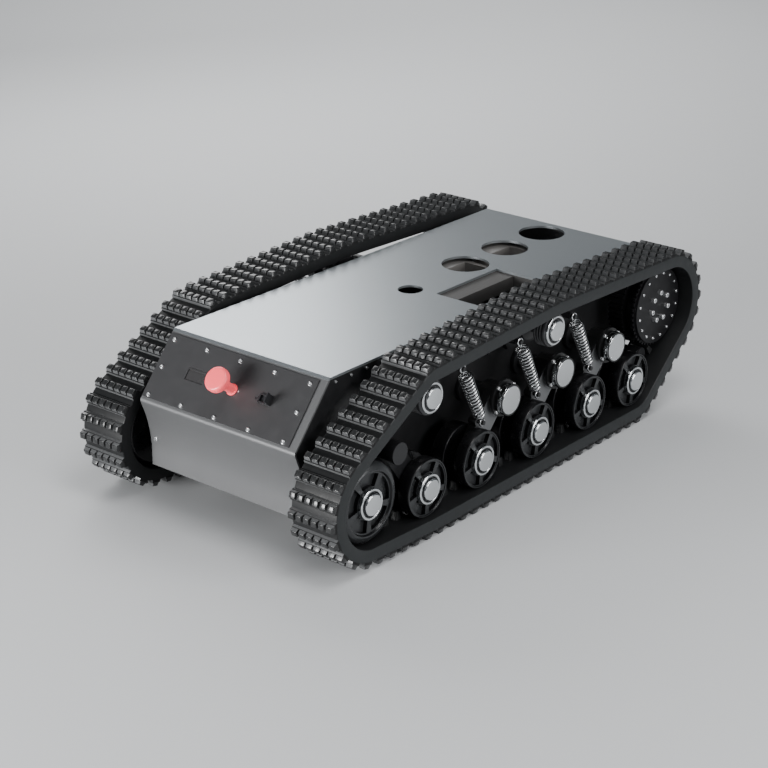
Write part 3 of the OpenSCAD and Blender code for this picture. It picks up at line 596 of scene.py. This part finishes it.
def ring_spots(count, radius, first, height):
    """Places evenly spaced on a circle, as matrices at a height; first is an angle in degrees."""
    for k in range(count):
        a = math.radians(first + 360 / count * k)
        yield Matrix.Translation((radius * math.cos(a), radius * math.sin(a), height))


PIVOT_PIN_RING = 20.3
PIVOT_BOLT_RING = 26.9
PIVOT_FLANGE_Y = 234.0
SEAT = 0.2
CAP_LIFT = 0.3


def make_pivots():
    """The caps of the big arm pivots, with the bolts of their flanges."""
    pin = rounded([(1.3, 0), (1.3, 0.7), (0, 0.7)], 0.5)
    for side in SIDES:
        for i in SPRUNG_ARMS:
            body = f"swing_arm_{side}_{i}"
            matrix = side_matrix(centre(f"{body}_swing"), side)
            face = y_band(body)[1] + CAP_LIFT
            mesh = bmesh.new()
            spin(mesh, pivot_cap_outline(face), matrix)
            for spot in ring_spots(6, PIVOT_PIN_RING, 20, face - SEAT):
                spin(mesh, pin, matrix @ spot, 12)
            piece(f"pivot_cap_{body}", mesh, body, "chrome")
            mesh = bmesh.new()
            for spot in ring_spots(4, PIVOT_BOLT_RING, 52, PIVOT_FLANGE_Y - SEAT):
                screw_head(mesh, matrix @ spot, 3.1, 4.2, 0.9, 16)
            piece(f"pivot_bolts_{body}", mesh, body, "steel")


RIM_SCREWS = {"count": 16, "ring": 56.5, "first": 11.25, "radius": 2.5, "height": 1.8}
HUB_SCREWS = {"count": 7, "ring": 24.0, "first": 90.0, "radius": 4.4, "height": 7.0}


def make_sprocket_screws():
    """The two rings of screws on each sprocket's disc."""
    face = y_band("sprocket_left")[1]
    for side in SIDES:
        mesh = bmesh.new()
        matrix = side_matrix(centre(f"sprocket_{side}_spin"), side)
        for ring in (RIM_SCREWS, HUB_SCREWS):
            for spot in ring_spots(ring["count"], ring["ring"], ring["first"], face - SEAT):
                screw_head(mesh, matrix @ spot, ring["radius"], ring["height"] + SEAT, 0.8)
        obj = piece(f"disc_screws_{side}", mesh, f"sprocket_{side}", "steel")
        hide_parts(f"sprocket_screws_{side}")


def panel_matrix(s, y):
    """From a screw's frame to the row frame, on the nose panel s down from the deck."""
    down = Vector((math.sin(NOSE_LEAN), 0, -math.cos(NOSE_LEAN)))
    out = Vector((math.cos(NOSE_LEAN), 0, math.sin(NOSE_LEAN)))
    place = Vector((DECK_FRONT, y, DECK_Z)) + down * s
    side = Vector((0, 1, 0))
    return Matrix(((down.x, side.x, out.x, place.x), (down.y, side.y, out.y, place.y),
                   (down.z, side.z, out.z, place.z), (0, 0, 0, 1)))


COVER_ROWS = (16.5, 108.5)
COVER_FIRST_Y = -143
COVER_PITCH = 68.5
COVER_EDGE_SCREWS = ((62, -143), (62, 131))
CHIN_X = 425.4
CHIN_Z = 104
CHIN_Y = 145
PIN_SOCKET_AT = (60.2, 51.8)
LAMP_AT = (59.9, 14.7)
ESTOP_AT = (60.5, 3)


def make_cover_details():
    """Screws of the cover and chin, the status lamp and the small socket beside the charge port."""
    mesh = bmesh.new()
    places = [(s, COVER_FIRST_Y + COVER_PITCH * k) for s in COVER_ROWS for k in range(5)]
    for s, y in (*places, *COVER_EDGE_SCREWS):
        screw_head(mesh, panel_matrix(s, y), 3.1, 2.4, 1.3)
    for y in (-CHIN_Y, CHIN_Y):
        forward = Matrix(((0, 0, 1, CHIN_X), (1, 0, 0, y), (0, 1, 0, CHIN_Z), (0, 0, 0, 1)))
        screw_head(mesh, forward, 3.6, 3.4, 1.3)
    obj = piece("front_screws", mesh, "chassis", "steel")
    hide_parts("cover_screws")
    mesh = bmesh.new()
    outline = [(3.2, -0.5), (3.2, 0.9), (2.2, 0.9), (2.2, 0.2), (0, 0.2)]
    spin(mesh, rounded(outline, 0.3), panel_matrix(*PIN_SOCKET_AT), 24)
    piece("pin_socket", mesh, "chassis", "black_plastic")
    mesh = bmesh.new()
    spin(mesh, rounded([(1.3, -0.5), (1.3, 0.7), (0, 0.7)], 0.6), panel_matrix(*LAMP_AT), 20)
    piece("status_lamp", mesh, "chassis", "steel")


def make_estop():
    """The emergency stop's moulded mushroom head on its stem."""
    mesh = bmesh.new()
    outline = [(7.2, -6), (7.2, 21), (10.0, 27), (16.5, 32), (19.6, 35), (19.6, 43.2),
               (17.0, 46), (8.0, 46.8), (0, 47)]
    spin(mesh, rounded(outline, 2.4, 5), panel_matrix(*ESTOP_AT), 72)
    obj = piece("estop_head", mesh, BODY_OF["estop_button"], "red_plastic", 50)
    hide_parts("estop_button")


# ---------------------------------------------------------------- springs

WIRE_R = 1.4
COIL_R = 10.6
COIL_FOOT_R = 8.0
COIL_TURNS = 15
COIL_STEPS = 20
COIL_END_SHARE = 0.15
EYE_R = 5.6
EYE_LEAD = 4.5
SPRING_Y = 230.0
SPRING_FOOT = (49, -26)
SPRING_HEAD = (100, 78)


def spring_path(length):
    """An extension-hook spring on the Z axis: an eye, the coil, narrower at its foot, and another eye."""
    lead = EYE_R + EYE_LEAD
    half_eye = [(EYE_R * math.sin(a), 0, -EYE_R * math.cos(a))
                for a in (math.radians(-130 + 310 * k / 22) for k in range(23))]
    steps = COIL_TURNS * COIL_STEPS
    low, high = lead, length - lead
    coil = []
    for k in range(steps + 1):
        t = k / steps
        ease = min(1.0, t * COIL_TURNS, (1 - t) * COIL_TURNS)
        share = COIL_END_SHARE + (1 - COIL_END_SHARE) * math.sin(ease * math.pi / 2)
        r = (COIL_FOOT_R + (COIL_R - COIL_FOOT_R) * t) * share
        a = 2 * math.pi * COIL_TURNS * t
        coil.append((r * math.cos(a), r * math.sin(a), low + (high - low) * t))
    upper = [(-x, y, length - z) for x, y, z in reversed(half_eye)]
    return half_eye + coil + upper


def make_springs():
    """The coil springs, each stretched between its hanger on the hull and its arm."""
    for side, sign in SIDES.items():
        for i in SPRUNG_ARMS:
            body = f"swing_arm_{side}_{i}"
            px, pz = centre(f"{body}_swing")
            foot = Vector((px + SPRING_FOOT[0], 0, pz + SPRING_FOOT[1]))
            head = Vector((px + SPRING_HEAD[0], 0, pz + SPRING_HEAD[1]))
            along = (head - foot).normalized()
            across = Vector((along.z, 0, -along.x))
            spring_y = sign * SPRING_Y
            matrix = Matrix(((across.x, 0, along.x, foot.x), (0, 1, 0, spring_y),
                             (across.z, 0, along.z, foot.z), (0, 0, 0, 1)))
            mesh = bmesh.new()
            tube(mesh, [matrix @ Vector(p) for p in spring_path((head - foot).length)], WIRE_R)
            obj = piece(f"coil_spring_{side}_{i}", mesh, None, "chrome", 60)
            obj.data.materials[0] = MATERIALS["spring_steel"]
            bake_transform(obj)
            if i == SPRUNG_ARMS[0]:
                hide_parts(f"coil_springs_{side}")


# ---------------------------------------------------------------- CAD nodes

def soften(obj, width):
    """Rounds the CAD node's sharp edges a little."""
    weld = obj.modifiers.new("weld", "WELD")
    weld.merge_threshold = 0.00001
    edge = obj.modifiers.new("edge", "BEVEL")
    edge.width = width * MM
    edge.segments = 2
    edge.limit_method = "ANGLE"
    edge.angle_limit = math.radians(32)
    edge.harden_normals = True


WHEEL_NODES = ("road_wheel", "idler_left", "idler_right")
CRISP_NODES = ("track_", "coil_springs", "deck_plate", "nose_plate", "front_cover")


def dress_cad_nodes():
    """Gives each CAD node its material, and softens the edges of all but the crisp ones."""
    for entry in RECORD["subparts"]:
        obj = frame["nodes"][entry["node"]]
        paint(obj, entry["material_slot"])
        if entry["node"].startswith(WHEEL_NODES):
            soften(obj, 0.8)
        elif not entry["node"].startswith(CRISP_NODES):
            soften(obj, 0.4)
    frame["nodes"]["access_well"].data.materials[0] = MATERIALS["well_metal"]


# ---------------------------------------------------------------- stage

def make_stage():
    """A plain pale floor."""
    mesh = bmesh.new()
    bmesh.ops.create_grid(mesh, x_segments=1, y_segments=1, size=12)
    data = bpy.data.meshes.new("floor")
    mesh.to_mesh(data)
    mesh.free()
    floor = bpy.data.objects.new("floor", data)
    bpy.context.scene.collection.objects.link(floor)
    made, tree, shader = material("floor")
    shader.inputs["Base Color"].default_value = (0.55, 0.56, 0.57, 1)
    shader.inputs["Roughness"].default_value = 0.6
    data.materials.append(made)


def softbox(name, place, target, size, power, beam=180):
    """A rectangular area light in watts; beam is its spread in degrees."""
    light = bpy.data.lights.new(name, "AREA")
    light.spread = math.radians(beam)
    light.shape = "RECTANGLE"
    light.size, light.size_y = size
    light.energy = power
    obj = bpy.data.objects.new(name, light)
    obj.location = place
    obj.rotation_euler = (Vector(target) - Vector(place)).to_track_quat("-Z", "Y").to_euler()
    bpy.context.scene.collection.objects.link(obj)


def make_lights():
    world = bpy.data.worlds.new("studio")
    world.use_nodes = True
    world.node_tree.nodes["Background"].inputs["Color"].default_value = (0.62, 0.66, 0.70, 1)
    world.node_tree.nodes["Background"].inputs["Strength"].default_value = 0.2
    bpy.context.scene.world = world
    middle = (0, 0, 0.15)
    softbox("back", (-0.9, -2.1, 1.55), (0.3, 0, 0.26), (1.9, 1.1), 35)
    softbox("front", (2.5, -0.5, 0.35), (0.4, 0, 0.12), (1.4, 0.6), 100)
    softbox("overhead", (0.3, 0.9, 2.6), middle, (1.0, 1.4), 35)
    softbox("near_side", (-0.2, 2.5, 1.0), middle, (1.8, 0.7), 50)
    softbox("far_floor", (-2.6, -2.2, 2.4), (-2.6, -2.2, 0), (3.4, 3.4), 60, 110)
    softbox("near_floor", (3.0, 2.7, 2.4), (3.0, 2.7, 0), (3.4, 3.4), 60, 110)


def make_camera():
    """The camera at the photograph's angle."""
    data = bpy.data.cameras.new("camera")
    data.sensor_width = 36
    data.lens = 91.9
    obj = bpy.data.objects.new("camera", data)
    obj.location = (2.298, 1.868, 1.320)
    forward = Vector((-0.7097, -0.5922, -0.3816))
    obj.rotation_euler = forward.to_track_quat("-Z", "Y").to_euler()
    bpy.context.scene.collection.objects.link(obj)
    bpy.context.scene.camera = obj


# ---------------------------------------------------------------- build

make_camera()
make_stage()
make_lights()
dress_cad_nodes()
for side in SIDES:
    make_belt(side)
make_caps()
make_pivots()
make_sprocket_screws()
make_cover_details()
make_estop()
make_springs()
